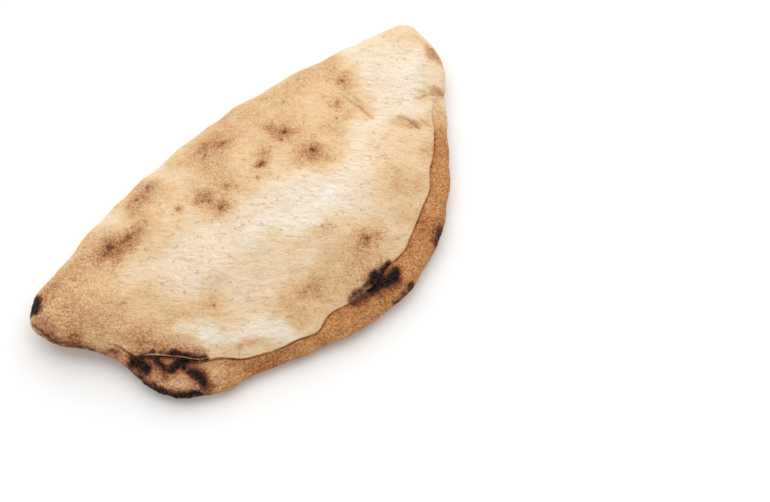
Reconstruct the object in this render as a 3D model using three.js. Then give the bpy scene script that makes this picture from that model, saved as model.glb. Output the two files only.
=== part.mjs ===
// A whole baked calzone: a round of pizza dough folded over its filling into a half moon.
// It lies flat, as on a table. The fold is the gently bowed long side at +Y. The open seam
// runs round the -Y side, where the lower layer of dough stands out past the upper one as a
// rounded lip with a thin gap above it. Nothing is cut, so the calzone is one solid piece.
//
// Millimetres, +Z up. X runs along the fold, from the charred tip (-X) to the blunt end (+X).
import * as THREE from "three";

// ---- Driving dimensions -------------------------------------------------------------------

const LENGTH = 275; // tip to blunt end
const WIDTH = 149; // fold to the front of the lip
const CENTRE_HEIGHT = 39; // top of the dome before its swells
const END_HEIGHT = 25; // dome height at both ends of the spine

// Stations round the rim, from the charred tip along the open seam to the blunt end, and back
// along the fold. x and y are the outermost edge in plan, as shares of half the length and half
// the width. reach is how far the lower layer stands out past the upper one, thick its
// thickness, and lift the height of its underside, all in mm. open is 1 on the open seam and 0
// where the dough is folded and closed.
const RIM_STATIONS = [
  { x: -0.997, y: 0.57, reach: 6, thick: 12, lift: 8, open: 0 }, // charred tip
  { x: -0.98, y: 0.36, reach: 5.5, thick: 11, lift: 8, open: 0 },
  { x: -0.905, y: 0.18, reach: 5, thick: 10, lift: 7, open: 0 }, // neck below the tip
  { x: -0.84, y: 0.01, reach: 4, thick: 8.5, lift: 5.5, open: 0.3 },
  { x: -0.825, y: -0.21, reach: 10, thick: 11, lift: 2.5, open: 1 },
  { x: -0.772, y: -0.475, reach: 18.5, thick: 12, lift: 0.8, open: 1 }, // drooping lobe
  { x: -0.65, y: -0.655, reach: 17, thick: 12, lift: 0.6, open: 1 },
  { x: -0.443, y: -0.763, reach: 7.5, thick: 11, lift: 1, open: 1 },
  { x: -0.221, y: -0.9, reach: 8, thick: 10, lift: 2, open: 1 }, // narrowest lip
  { x: -0.15, y: -0.938, reach: 12.5, thick: 10, lift: 2.2, open: 1 },
  { x: 0.041, y: -1.0, reach: 14.5, thick: 10.5, lift: 2.6, open: 1 }, // belly
  { x: 0.269, y: -0.947, reach: 15.5, thick: 10.5, lift: 2.6, open: 1 },
  { x: 0.502, y: -0.732, reach: 14, thick: 10.5, lift: 2.6, open: 1 },
  { x: 0.691, y: -0.396, reach: 10, thick: 10.5, lift: 2.6, open: 0.9 },
  { x: 0.83, y: -0.073, reach: 7, thick: 11.5, lift: 3, open: 0.3 },
  { x: 0.959, y: 0.203, reach: 6.5, thick: 13, lift: 3, open: 0 },
  { x: 1.0035, y: 0.492, reach: 7, thick: 14, lift: 3, open: 0 }, // blunt end
  { x: 0.979, y: 0.672, reach: 7.5, thick: 15, lift: 2, open: 0 },
  { x: 0.735, y: 0.822, reach: 8, thick: 16, lift: 1, open: 0 }, // fold, out to the last row
  { x: 0.458, y: 0.926, reach: 8, thick: 16, lift: 1, open: 0 },
  { x: 0.153, y: 0.995, reach: 8, thick: 16, lift: 1, open: 0 },
  { x: -0.177, y: 0.985, reach: 8, thick: 16, lift: 1, open: 0 },
  { x: -0.489, y: 0.925, reach: 8, thick: 16, lift: 1, open: 0 },
  { x: -0.766, y: 0.804, reach: 7, thick: 14, lift: 2, open: 0 },
  { x: -0.932, y: 0.7, reach: 6.5, thick: 13, lift: 6, open: 0 },
];
const BLUNT_END = 16; // the station where the seam side ends and the fold side begins

// Hand-stretched dough is never even: waves that run round the rim, in mm.
const RIM_WAVES = [
  { waves: 19, edge: 0.35, reach: 0.7, thick: 0.3 },
  { waves: 31, edge: 0.25, reach: 0.5, thick: 0.25 },
];

// The spine is the line under the top of the dome where the rays in from the rim meet.
const SPINE_REACH = 82; // from its middle to either end, along the length
const SPINE_OFFSET = 4; // its distance from the middle of the width
const SPINE_BOW = 9.5; // how far its ends curve towards the fold, each in line with its tip

// The calzone stands on a flat face whose corners, in order round the rim from the tip, lie here
// in plan. Its sides are slightly hollow, and outside them the underside lifts off the table.
const REST_CORNERS = [
  [-74, -34],
  [66, -38],
  [104, 36],
  [-104, 40],
];
const REST_HOLLOW = 2;

// Swells and hollows where the filling pushes the upper layer up or it sinks between.
const SWELLS = [
  { x: -70, y: 25, radius: 40, height: 1.5 },
  { x: 30, y: 30, radius: 45, height: 2 },
  { x: 85, y: 10, radius: 35, height: -1.5 },
  { x: -10, y: -25, radius: 38, height: -1.2 },
  { x: -95, y: 20, radius: 28, height: -1.5 },
  { x: 50, y: -25, radius: 30, height: 1.5 },
];

// Low ripples that cross the dome, each set of them with one wavelength and one heading.
const RIPPLES = [
  { wavelength: 46, heading: 112, height: 0.35 },
  { wavelength: 33, heading: 64, height: 0.3 },
  { wavelength: 27, heading: 10, height: 0.2 },
];

// Creases pressed into the dough: a line in plan, the full width of the valley, its depth, and
// whether it lies on the upper layer or on the lip.
const CREASES = [
  { on: "lip", from: [-84, -47], to: [-66, -52], width: 7, depth: 1.8 },
  { on: "lip", from: [-66, -52], to: [-46, -61], width: 6, depth: 1.4 },
  { on: "dome", from: [-106, -8], to: [-86, -8], width: 10, depth: 0.8 },
  { on: "dome", from: [73, 32], to: [77, 13], width: 12, depth: 0.9 },
  { on: "dome", from: [82, 0], to: [96, -9], width: 11, depth: 1.2 },
  { on: "dome", from: [102, 4], to: [122, 2], width: 11, depth: 1.2 },
];

// Mesh density: rays round the rim, and rows of each ray over the base, the rim and the dome.
const RAYS = 144;
const BASE_ROWS = 2;
const RIM_ROWS = 22;
const DOME_ROWS = 13;
const STEPS_PER_STATION = 60; // for measuring the rim's length

// ---- Curves -------------------------------------------------------------------------------

const mix = (a, b, share) => a + (b - a) * share;

// A centripetal Catmull-Rom span between points p1 and p2. Points are arrays whose first two
// numbers are a position; the others are carried along.
function span(p0, p1, p2, p3, share) {
  const root = (a, b) => Math.max(Math.sqrt(Math.hypot(b[0] - a[0], b[1] - a[1])), 1e-4);
  const t1 = root(p0, p1);
  const t2 = t1 + root(p1, p2);
  const t3 = t2 + root(p2, p3);
  const t = mix(t1, t2, share);
  return p1.map((_, k) => {
    const a1 = mix(p0[k], p1[k], t / t1);
    const a2 = mix(p1[k], p2[k], (t - t1) / (t2 - t1));
    const a3 = mix(p2[k], p3[k], (t - t2) / (t3 - t2));
    const b1 = mix(a1, a2, t / t2);
    const b2 = mix(a2, a3, (t - t1) / (t3 - t1));
    return mix(b1, b2, (t - t1) / (t2 - t1));
  });
}

// A point on the closed curve through the stations, at a place counted in stations.
function onLoop(stations, place) {
  const n = stations.length;
  const i = Math.floor(place);
  const at = (k) => stations[(((i + k) % n) + n) % n];
  return span(at(-1), at(0), at(1), at(2), place - i);
}

// A point on a section, at a place counted in knots. Knots 0 and TOP lie on the spine, and one
// more knot past each of them only gives the curve its direction there.
function onSection(knots, place) {
  const i = Math.min(Math.floor(place), TOP - 1);
  const at = (k) => knots[i + k + 1];
  return span(at(-1), at(0), at(1), at(2), place - i);
}

// ---- Rim ----------------------------------------------------------------------------------

// The rim at RAYS places, evenly spaced along the seam side and again along the fold side, so
// that ray i and ray RAYS - i start at the two ends of one line across the calzone.
function rim() {
  const stations = RIM_STATIONS.map((s) => [
    (s.x * LENGTH) / 2,
    (s.y * WIDTH) / 2,
    s.reach,
    s.thick,
    s.lift,
    s.open,
  ]);
  const steps = stations.length * STEPS_PER_STATION;
  const along = [0];
  for (let i = 1; i <= steps; i++) {
    const a = onLoop(stations, (i - 1) / STEPS_PER_STATION);
    const b = onLoop(stations, i / STEPS_PER_STATION);
    along.push(along[i - 1] + Math.hypot(b[0] - a[0], b[1] - a[1]));
  }
  const placeAt = (length) => {
    const i = Math.max(1, along.findIndex((l) => l >= length));
    return (i - 1 + (length - along[i - 1]) / (along[i] - along[i - 1])) / STEPS_PER_STATION;
  };
  const turn = along[BLUNT_END * STEPS_PER_STATION];
  const points = [];
  for (let i = 0; i < RAYS; i++) {
    const share = i / (RAYS / 2);
    const length = share < 1 ? turn * share : mix(turn, along[steps], share - 1);
    const [x, y, reach, thick, lift, open] = onLoop(stations, placeAt(length));
    const angle = (2 * Math.PI * length) / along[steps];
    const wave = (size) => RIM_WAVES.reduce((sum, w) => sum + w[size] * Math.sin(w.waves * angle), 0);
    points.push({
      x,
      y,
      edge: wave("edge"),
      reach: reach + wave("reach"),
      thick: thick + wave("thick"),
      lift,
      open,
    });
  }
  return points;
}

// ---- Section ------------------------------------------------------------------------------

// Height of the dome along the spine, and its slope there in the direction of the length.
function spineHeight(x) {
  const along = Math.min(1, Math.abs(x) / SPINE_REACH);
  return mix(END_HEIGHT, CENTRE_HEIGHT, (1 - along ** 2) ** 1.5);
}
const spineSlope = (x) => (spineHeight(x + 1) - spineHeight(x - 1)) / 2;

// Knots of the section along one ray, from the spine under the base, out round the rim, and
// back to the spine on top. Each is [distance in from the outer edge, height]. The ray is so
// long, and it leaves the flat face at rest. height and slope are the dome's at the spine.
function sectionKnots({ reach, thick, lift, open }, ray, rest, height, slope) {
  const edge = Math.max(reach, thick / 2); // where the upper layer's edge lies
  const lipTop = lift + thick;
  const shoulder = lipTop + mix(2.1, 3.6, open); // top of the upper layer's edge
  const domeFoot = edge + 1.2;
  const dome = (share) => [
    mix(domeFoot, ray, share),
    mix(shoulder, height, 1 - (1 - share) ** 2) +
      slope * (ray - domeFoot) * (share ** 3 - share ** 2),
  ];
  const base = [
    [2 * ray - rest, 0],
    [ray, 0],
    [rest, 0],
    [mix(rest, 0.42 * thick, 0.5), 0.45 * lift + 0.4],
  ];
  const lip = [
    [0.42 * thick, lift + 0.05 * thick],
    [0.12 * thick, lift + 0.22 * thick],
    [0, lift + 0.5 * thick], // the outermost line
    [mix(0.1, 0.12, open) * thick, lift + mix(0.75, 0.78, open) * thick],
    [mix(0.26, 0.45, open) * thick, lift + mix(0.925, 0.97, open) * thick],
    [edge - mix(1.8, 1, open), lipTop + mix(0.2, 0.5, open)],
    [edge + mix(-0.4, 1.3, open), lipTop + mix(1.1, -1, open)], // bottom of the gap at the seam
    [edge + mix(0.5, -0.9, open), lipTop + mix(1.7, 1.5, open)], // upper layer's overhang
    [edge + mix(1.2, 0.3, open), shoulder - mix(0, 0.6, open)],
  ];
  const past = dome(0.78);
  const top = [0.06, 0.16, 0.32, 0.55, 0.78, 1].map(dome);
  top.push([2 * ray - past[0], past[1] + 2 * slope * (ray - past[0])]);
  return [...base, ...lip, ...top];
}

// Places along those knots where rows change from the flat face to the rim and from the rim to
// the dome, and where the relief of the lip and of the dome begins and ends.
const RIM_ROWS_FROM = 1;
const DOME_ROWS_FROM = 12;
const TOP = 17;
const LIP_RELIEF = [5, 6.5, 8, 8.6];
const DOME_RELIEF = [11, 12.5];
const SWELL_RELIEF = [12, 15];

function sectionPlaces() {
  const rows = (count, from, to) => Array.from({ length: count }, (_, i) => mix(from, to, i / count));
  return [
    ...rows(BASE_ROWS, 0, RIM_ROWS_FROM),
    ...rows(RIM_ROWS, RIM_ROWS_FROM, DOME_ROWS_FROM),
    ...rows(DOME_ROWS, DOME_ROWS_FROM, TOP),
    TOP,
  ];
}

// ---- Relief -------------------------------------------------------------------------------

const { smoothstep, degToRad } = THREE.MathUtils;
const sum = (list, value) => list.reduce((total, item) => total + value(item), 0);

function swell(x, y) {
  return sum(SWELLS, (s) => s.height * Math.exp(-((x - s.x) ** 2 + (y - s.y) ** 2) / s.radius ** 2));
}

function ripple(x, y) {
  return sum(RIPPLES, ({ wavelength, heading, height }) => {
    const across = x * Math.cos(degToRad(heading)) + y * Math.sin(degToRad(heading));
    return height * Math.sin((2 * Math.PI * across) / wavelength);
  });
}

function crease(layer, x, y) {
  return sum(
    CREASES.filter((c) => c.on === layer),
    ({ from, to, width, depth }) => {
      const [dx, dy] = [to[0] - from[0], to[1] - from[1]];
      const share = ((x - from[0]) * dx + (y - from[1]) * dy) / (dx ** 2 + dy ** 2);
      const nearest = THREE.MathUtils.clamp(share, 0, 1);
      const away = Math.hypot(x - from[0] - nearest * dx, y - from[1] - nearest * dy);
      return depth * Math.exp(-((away / (width / 3)) ** 2));
    },
  );
}

// How much the skin rises at a place of the section above the point (x, y).
function relief(place, x, y) {
  const onLip = smoothstep(place, LIP_RELIEF[0], LIP_RELIEF[1]) *
    (1 - smoothstep(place, LIP_RELIEF[2], LIP_RELIEF[3]));
  const onDome = smoothstep(place, ...DOME_RELIEF);
  const onSwell = smoothstep(place, ...SWELL_RELIEF);
  return (
    onSwell * (swell(x, y) + ripple(x, y)) - onDome * crease("dome", x, y) - onLip * crease("lip", x, y)
  );
}

// ---- Dough --------------------------------------------------------------------------------

// The rays from the rim to the spine. Each adds to its rim point the spine's point where it
// ends, x and y, and its length.
function raysToSpine(outline) {
  return outline.map((start, i) => {
    const facing = outline[(RAYS - i) % RAYS];
    const middle = (start.x + facing.x) / LENGTH;
    const along = mix(middle, Math.sin((Math.PI / 2) * middle), 0.8); // crowds rays at the ends
    const end = [SPINE_REACH * along, SPINE_OFFSET + SPINE_BOW * along ** 4];
    const length = Math.hypot(end[0] - start.x, end[1] - start.y);
    const at = (inward) => [
      mix(start.x, end[0], inward / length),
      mix(start.y, end[1], inward / length),
    ];
    return { ...start, end, length, at };
  });
}

// How far in along each ray the flat face begins. Four rays lead to its corners, and the rays
// between two of them meet the line that joins those corners.
function restingEdge(rays) {
  const cross = (a, b) => a[0] * b[1] - a[1] * b[0];
  const minus = (a, b) => [a[0] - b[0], a[1] - b[1]];
  const distance = (a, b) => Math.hypot(a[0] - b[0], a[1] - b[1]);
  const corners = REST_CORNERS.map((corner) => {
    let best = { away: Infinity };
    rays.forEach((ray, i) => {
      const inward = distance(corner, ray.at(0));
      const away = distance(corner, ray.at(inward));
      if (away < best.away) best = { away, i, point: ray.at(inward) };
    });
    return best;
  });
  const edge = [];
  corners.forEach((from, k) => {
    const to = corners[(k + 1) % corners.length];
    const side = minus(to.point, from.point);
    const count = (to.i - from.i + RAYS) % RAYS;
    for (let step = 0; step < count; step++) {
      const i = (from.i + step) % RAYS;
      const start = rays[i].at(0);
      const direction = minus(rays[i].at(1), start);
      const inward = cross(minus(from.point, start), side) / cross(direction, side);
      edge[i] = inward + REST_HOLLOW * Math.sin((Math.PI * step) / count);
    }
  });
  return edge;
}

// One closed skin: rows of points from the spine under the base to the spine on top. The first
// and the last row lie on the spine, where each ray ends at the same point as its mirror ray.
function doughGeometry() {
  const rays = raysToSpine(rim());
  const rest = restingEdge(rays);
  const places = sectionPlaces();
  const rows = places.map(() => []);
  rays.forEach((ray, i) => {
    const slope = (spineSlope(ray.end[0]) * (ray.end[0] - ray.x)) / ray.length;
    const knots = sectionKnots(ray, ray.length, rest[i], spineHeight(ray.end[0]), slope);
    places.forEach((place, row) => {
      const [inward, height] = onSection(knots, place);
      const nearRim = 1 - Math.min(1, inward / (ray.length / 2));
      const onRim = smoothstep(place, RIM_ROWS_FROM, RIM_ROWS_FROM + 2);
      const [x, y] = ray.at(inward - ray.edge * nearRim * onRim);
      rows[row].push([x, y, Math.max(0, height + relief(place, x, y))]);
    });
  });
  const last = places.length - 1;
  const index = (row, i) => {
    const ray = (i + RAYS) % RAYS;
    const onSpine = row === 0 || row === last;
    return row * RAYS + (onSpine ? Math.min(ray, (RAYS - ray) % RAYS) : ray);
  };
  const faces = [];
  for (let row = 0; row < last; row++) {
    for (let i = 0; i < RAYS; i++) {
      const a = index(row, i);
      const b = index(row, i + 1);
      const c = index(row + 1, i + 1);
      const d = index(row + 1, i);
      // No diagonal starts on a tip's own ray, where it would leave a sliver at the spine's end.
      const towardsTip = i % (RAYS / 2) < RAYS / 4;
      if (towardsTip) faces.push(a, b, d, b, c, d);
      else faces.push(a, b, c, a, c, d);
    }
  }
  const geometry = new THREE.BufferGeometry();
  geometry.setAttribute("position", new THREE.Float32BufferAttribute(rows.flat(2), 3));
  geometry.setIndex(faces);
  geometry.computeVertexNormals();
  return geometry;
}

const bakedDough = new THREE.MeshStandardMaterial({
  color: 0xe3c29b,
  roughness: 0.85,
  metalness: 0,
});
const calzone = new THREE.Mesh(doughGeometry(), bakedDough);
calzone.name = "calzone";

const part = new THREE.Group();
part.add(calzone);

export default part;
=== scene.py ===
"""A whole baked calzone: a round of pizza dough folded over its filling into a half moon.

It lies flat, with the fold's long side at +Y, the open seam and its lip round -Y and the charred
tip at -X. One closed skin of dough takes the place of the plain solid and keeps its form: the same
stations round the rim and the same section, at a finer mesh, with the wrinkles, creases, blister
and burnt crust of a stone-baked dough raised in it. Where the dough is browned, floury or burnt is
worked out on the skin's own points, and the material reads it from there.

Lengths in this script are millimetres until a mesh, a texture or the camera is made of them, and
metres from there on.
"""
import itertools
import math

import bpy
import numpy as np
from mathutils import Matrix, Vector


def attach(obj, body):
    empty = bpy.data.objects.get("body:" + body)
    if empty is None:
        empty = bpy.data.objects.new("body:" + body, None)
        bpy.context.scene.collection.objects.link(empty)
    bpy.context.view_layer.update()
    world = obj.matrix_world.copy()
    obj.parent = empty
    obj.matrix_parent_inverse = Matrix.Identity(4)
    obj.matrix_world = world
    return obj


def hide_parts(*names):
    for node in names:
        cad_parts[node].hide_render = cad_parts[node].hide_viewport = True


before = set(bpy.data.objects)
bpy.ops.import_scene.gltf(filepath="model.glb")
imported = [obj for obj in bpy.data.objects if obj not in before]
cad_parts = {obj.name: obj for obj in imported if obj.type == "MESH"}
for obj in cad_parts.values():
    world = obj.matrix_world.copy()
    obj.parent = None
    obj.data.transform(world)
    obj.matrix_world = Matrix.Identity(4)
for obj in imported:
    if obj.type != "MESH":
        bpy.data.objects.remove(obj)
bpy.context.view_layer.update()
MM = 0.001

# ---- The solid's driving dimensions -------------------------------------------------------

LENGTH = 275  # tip to blunt end
WIDTH = 149  # fold to the front of the lip
CENTRE_HEIGHT = 39  # top of the dome before its swells
END_HEIGHT = 25  # dome height at both ends of the spine

# Stations round the rim, from the charred tip along the open seam to the blunt end, and back
# along the fold: x and y as shares of half the length and half the width, how far the lower layer
# stands out past the upper one, its thickness, the height of its underside, and 1 where the seam
# is open or 0 where the dough is folded.
RIM_STATIONS = np.array([
    (-0.997, 0.57, 6, 12, 8, 0),  # charred tip
    (-0.98, 0.36, 5.5, 11, 8, 0),
    (-0.905, 0.18, 5, 10, 7, 0),  # neck below the tip
    (-0.84, 0.01, 4, 8.5, 5.5, 0.3),
    (-0.825, -0.21, 10, 11, 2.5, 1),
    (-0.772, -0.475, 18.5, 12, 0.8, 1),  # drooping lobe
    (-0.65, -0.655, 17, 12, 0.6, 1),
    (-0.443, -0.763, 7.5, 11, 1, 1),
    (-0.221, -0.9, 8, 10, 2, 1),  # narrowest lip
    (-0.15, -0.938, 12.5, 10, 2.2, 1),
    (0.041, -1.0, 14.5, 10.5, 2.6, 1),  # belly
    (0.269, -0.947, 15.5, 10.5, 2.6, 1),
    (0.502, -0.732, 14, 10.5, 2.6, 1),
    (0.691, -0.396, 10, 10.5, 2.6, 0.9),
    (0.83, -0.073, 7, 11.5, 3, 0.3),
    (0.959, 0.203, 6.5, 13, 3, 0),
    (1.0035, 0.492, 7, 14, 3, 0),  # blunt end
    (0.979, 0.672, 7.5, 15, 2, 0),
    (0.735, 0.822, 8, 16, 1, 0),  # fold, out to the last row
    (0.458, 0.926, 8, 16, 1, 0),
    (0.153, 0.995, 8, 16, 1, 0),
    (-0.177, 0.985, 8, 16, 1, 0),
    (-0.489, 0.925, 8, 16, 1, 0),
    (-0.766, 0.804, 7, 14, 2, 0),
    (-0.932, 0.7, 6.5, 13, 6, 0),
]) * (LENGTH / 2, WIDTH / 2, 1, 1, 1, 1)
BLUNT_END = 16  # the station where the seam side ends and the fold side begins

# How far the upper layer's edge rises over the lip, where folded and where open, how far in from
# that edge the dome begins, and the shares of the way to the spine where the dome has its knots.
SHOULDER_RISE = (2.1, 3.6)
DOME_FOOT = 1.2
DOME_SHARES = (0.06, 0.16, 0.32, 0.55, 0.78, 1)

# Hand-stretched dough is never even: how many waves run round the rim, and how far they move its
# edge, its reach and its thickness.
RIM_WAVES = [(19, 0.35, 0.7, 0.3), (31, 0.25, 0.5, 0.25)]

# The spine is the line under the top of the dome where the rays in from the rim meet.
SPINE_REACH = 82  # from its middle to either end, along the length
SPINE_OFFSET = 4  # its distance from the middle of the width
SPINE_BOW = 9.5  # how far its ends curve towards the fold
SPINE_CROWDING = 0.8  # how far the rays crowd together towards its ends, up to 1

# The flat face that the calzone stands on: its corners in plan, in order round the rim from the
# tip, and how hollow its sides are.
REST_CORNERS = [(-74, -34), (66, -38), (104, 36), (-104, 40)]
REST_HOLLOW = 2

# Swells where the filling pushes the upper layer up, and hollows where it sinks between.
SWELLS = [  # x, y, radius, height
    (-70, 25, 40, 1.5),
    (30, 30, 45, 2),
    (85, 10, 35, -1.5),
    (-10, -25, 38, -1.2),
    (-95, 20, 28, -1.5),
    (50, -25, 30, 1.5),
]
# Low ripples that cross the dome: wavelength, heading in degrees, height.
RIPPLES = [(46, 112, 0.35), (33, 64, 0.3), (27, 10, 0.2)]

# Mesh: rays round the rim, five to each ray of the solid, and how many rows there are over the
# base, the rim's underside, the rim and the dome, each with the place where they start.
SOLID_RAYS = 144
RAYS = 5 * SOLID_RAYS
ROWS = [(0, 3), (1, 8), (2.6, 58), (12, 66)]
STEPS_PER_STATION = 60  # for measuring the rim's length

# Places on a ray's section, counted in its knots from the spine under the base, round the rim and
# up to the spine on top. In a pair, something begins or ends between the two.
RIM_WAVES_FROM = (1, 3)
FINE_RELIEF = (1.2, 3)
OFF_THE_STONE = (3.2, 5.2)
LIP_RELIEF = (5, 6.5)
LIP_RELIEF_ENDS = (8, 8.6)
FINE_CREASES_FROM = (6, 7)
SEAM = (10.1, 10.5)
CUT_EDGE = 10.9
DOME_RELIEF = (11, 12.5)
WRINKLES_FROM = (12, 13)
SWELL_RELIEF = (12, 15)
TOP = 17


# ---- Numbers ------------------------------------------------------------------------------

def mix(a, b, share):
    return a + (b - a) * share


def smoothstep(value, low, high):
    share = np.clip((value - low) / (high - low), 0, 1)
    return share * share * (3 - 2 * share)


NOISE_CELLS = 48  # bumps along each side before a noise repeats


def noise(points, size, seed):
    """Smooth random values from -1 to 1, in bumps about size mm across.

    Points have two or three columns, and size is one number or one for each column.
    """
    columns = points.shape[-1]
    lattice = np.random.default_rng(seed).uniform(-1, 1, (NOISE_CELLS,) * columns)
    scaled = points / np.asarray(size, float)
    cell = np.floor(scaled).astype(int)
    share = smoothstep(scaled - cell, 0, 1)
    total = np.zeros(points.shape[:-1])
    for corner in itertools.product((0, 1), repeat=columns):
        weight = np.prod(np.where(corner, share, 1 - share), axis=-1)
        total += weight * lattice[tuple(np.moveaxis((cell + corner) % NOISE_CELLS, -1, 0))]
    return total


def layered_noise(points, size, seed, layers=3):
    """Noise with finer noise on top, each layer at half the size and height of the one before it."""
    size = np.asarray(size, float)
    return sum(noise(points, size / 2 ** k, seed + k) / 2 ** k for k in range(layers)) / 1.5


def unevenness(points, rows):
    """Layered noises added up, each from its strength, size and seed, and its layers if not three."""
    return sum(strength * layered_noise(points, *rest) for strength, *rest in rows)


def catmull_rom(p0, p1, p2, p3, share):
    """Points on centripetal Catmull-Rom spans from p1 to p2. The first two columns are a place."""
    shortest = 1e-4

    def root(a, b):
        return np.maximum(np.sqrt(np.linalg.norm((b - a)[..., :2], axis=-1)), shortest)[..., None]

    t1 = root(p0, p1)
    t2 = t1 + root(p1, p2)
    t3 = t2 + root(p2, p3)
    t = mix(t1, t2, share)
    a1 = mix(p0, p1, t / t1)
    a2 = mix(p1, p2, (t - t1) / (t2 - t1))
    a3 = mix(p2, p3, (t - t2) / (t3 - t2))
    b1 = mix(a1, a2, t / t2)
    b2 = mix(a2, a3, (t - t1) / (t3 - t1))
    return mix(b1, b2, (t - t1) / (t2 - t1))


# ---- Form of the dough --------------------------------------------------------------------

def rim_points():
    """The rim at the start of each ray: x, y, reach, thickness, lift, open and the edge's wave."""
    def on_loop(place):
        i = np.floor(place).astype(int)
        around = [RIM_STATIONS[(i + k) % len(RIM_STATIONS)] for k in (-1, 0, 1, 2)]
        return catmull_rom(*around, (place - i)[:, None])

    places = np.arange(len(RIM_STATIONS) * STEPS_PER_STATION + 1) / STEPS_PER_STATION
    corners = on_loop(places)[:, :2]
    along = np.append(0, np.cumsum(np.linalg.norm(np.diff(corners, axis=0), axis=1)))
    turn = along[BLUNT_END * STEPS_PER_STATION]
    share = np.arange(RAYS) / (RAYS / 2)
    length = np.where(share < 1, turn * share, mix(turn, along[-1], share - 1))
    x, y, reach, thick, lift, is_open = on_loop(np.interp(length, along, places)).T
    angle = 2 * math.pi * length / along[-1]
    edge_wave, reach_wave, thick_wave = (
        sum(wave[k] * np.sin(wave[0] * angle) for wave in RIM_WAVES) for k in (1, 2, 3)
    )
    return x, y, reach + reach_wave, thick + thick_wave, lift, is_open, edge_wave


def spine_height(x):
    along = np.minimum(1, np.abs(x) / SPINE_REACH)
    return mix(END_HEIGHT, CENTRE_HEIGHT, (1 - along ** 2) ** 1.5)


def resting_edge(start, direction):
    """How far in along each ray the flat face begins. Its corners lie on rays of the solid."""
    def cross(a, b):
        return a[..., 0] * b[..., 1] - a[..., 1] * b[..., 0]

    solid_rays = np.arange(0, RAYS, RAYS // SOLID_RAYS)
    found = []
    for corner in np.array(REST_CORNERS, float):
        inward = np.linalg.norm(corner - start[solid_rays], axis=1)
        points = start[solid_rays] + inward[:, None] * direction[solid_rays]
        nearest = int(np.linalg.norm(points - corner, axis=1).argmin())
        found.append((solid_rays[nearest], points[nearest]))
    edge = np.zeros(RAYS)
    for (i, a), (j, b) in zip(found, found[1:] + found[:1]):
        count = (j - i) % RAYS
        rays = (i + np.arange(count)) % RAYS
        side = b - a
        inward = cross(a - start[rays], side) / cross(direction[rays], side)
        edge[rays] = inward + REST_HOLLOW * np.sin(math.pi * np.arange(count) / count)
    return edge


def section_knots(reach, thick, lift, is_open, ray, rest, height, slope):
    """Knots of every ray's section, as in the solid: distance in from the rim, and height.

    ray is the ray's length, rest how far in the flat face begins, and height and slope are the
    dome's at the spine. Shapes are shares of the lip's thickness, or mm.
    """
    def by_open(closed, opened):
        return mix(closed, opened, is_open)

    edge = np.maximum(reach, thick / 2)  # where the upper layer's edge lies
    lip_top = lift + thick
    shoulder = lip_top + by_open(*SHOULDER_RISE)
    foot = edge + DOME_FOOT

    def dome(share):
        rise = mix(shoulder, height, 1 - (1 - share) ** 2)
        return mix(foot, ray, share), rise + slope * (ray - foot) * (share ** 3 - share ** 2)

    past = dome(DOME_SHARES[-2])
    knots = [
        (2 * ray - rest, 0),
        (ray, 0),
        (rest, 0),
        (mix(rest, 0.42 * thick, 0.5), 0.45 * lift + 0.4),  # the underside lifts off the table
        (0.42 * thick, lift + 0.05 * thick),
        (0.12 * thick, lift + 0.22 * thick),
        (0, lift + 0.5 * thick),  # the outermost line
        (by_open(0.1, 0.12) * thick, lift + by_open(0.75, 0.78) * thick),
        (by_open(0.26, 0.45) * thick, lift + by_open(0.925, 0.97) * thick),
        (edge - by_open(1.8, 1), lip_top + by_open(0.2, 0.5)),
        (edge + by_open(-0.4, 1.3), lip_top + by_open(1.1, -1)),  # bottom of the gap at the seam
        (edge + by_open(0.5, -0.9), lip_top + by_open(1.7, 1.5)),  # upper layer's overhang
        (edge + by_open(1.2, 0.3), shoulder - by_open(0, 0.6)),
        *(dome(share) for share in DOME_SHARES),
        (2 * ray - past[0], past[1] + 2 * slope * (ray - past[0])),
    ]
    return np.array([np.stack(np.broadcast_arrays(*knot, np.ones(RAYS))[:2], 1) for knot in knots])


def section_places():
    """The places of the rows on the section."""
    starts = [start for start, _ in ROWS] + [TOP]
    rows = [
        mix(start, end, np.arange(count) / count)
        for (start, count), end in zip(ROWS, starts[1:])
    ]
    return np.append(np.concatenate(rows), TOP)


def bare_skin():
    """The solid's own form at the finer mesh, in rows: points, and each one's place and open."""
    x, y, reach, thick, lift, is_open, edge_wave = rim_points()
    start = np.stack([x, y], 1)
    facing = (RAYS - np.arange(RAYS)) % RAYS  # the ray that ends at the same point of the spine
    middle = (x + x[facing]) / LENGTH
    along = mix(middle, np.sin(math.pi / 2 * middle), SPINE_CROWDING)
    end = np.stack([SPINE_REACH * along, SPINE_OFFSET + SPINE_BOW * along ** 4], 1)
    ray = np.linalg.norm(end - start, axis=1)
    direction = (end - start) / ray[:, None]
    spine_slope = (spine_height(end[:, 0] + 1) - spine_height(end[:, 0] - 1)) / 2
    slope = spine_slope * direction[:, 0]
    knots = section_knots(
        reach, thick, lift, is_open, ray, resting_edge(start, direction), spine_height(end[:, 0]), slope
    )
    rows = []
    for place in section_places():
        i = min(int(place), TOP - 1)
        inward, height = catmull_rom(*knots[i : i + 4], place - i).T
        near_rim = 1 - np.minimum(1, inward / (ray / 2))
        inward = inward - edge_wave * near_rim * smoothstep(place, *RIM_WAVES_FROM)
        rows.append(np.column_stack([start + inward[:, None] * direction, height]))
    place = np.broadcast_to(section_places()[:, None], (len(rows), RAYS))
    return np.array(rows), place, np.broadcast_to(is_open, place.shape)


# ---- Relief -------------------------------------------------------------------------------

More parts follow.
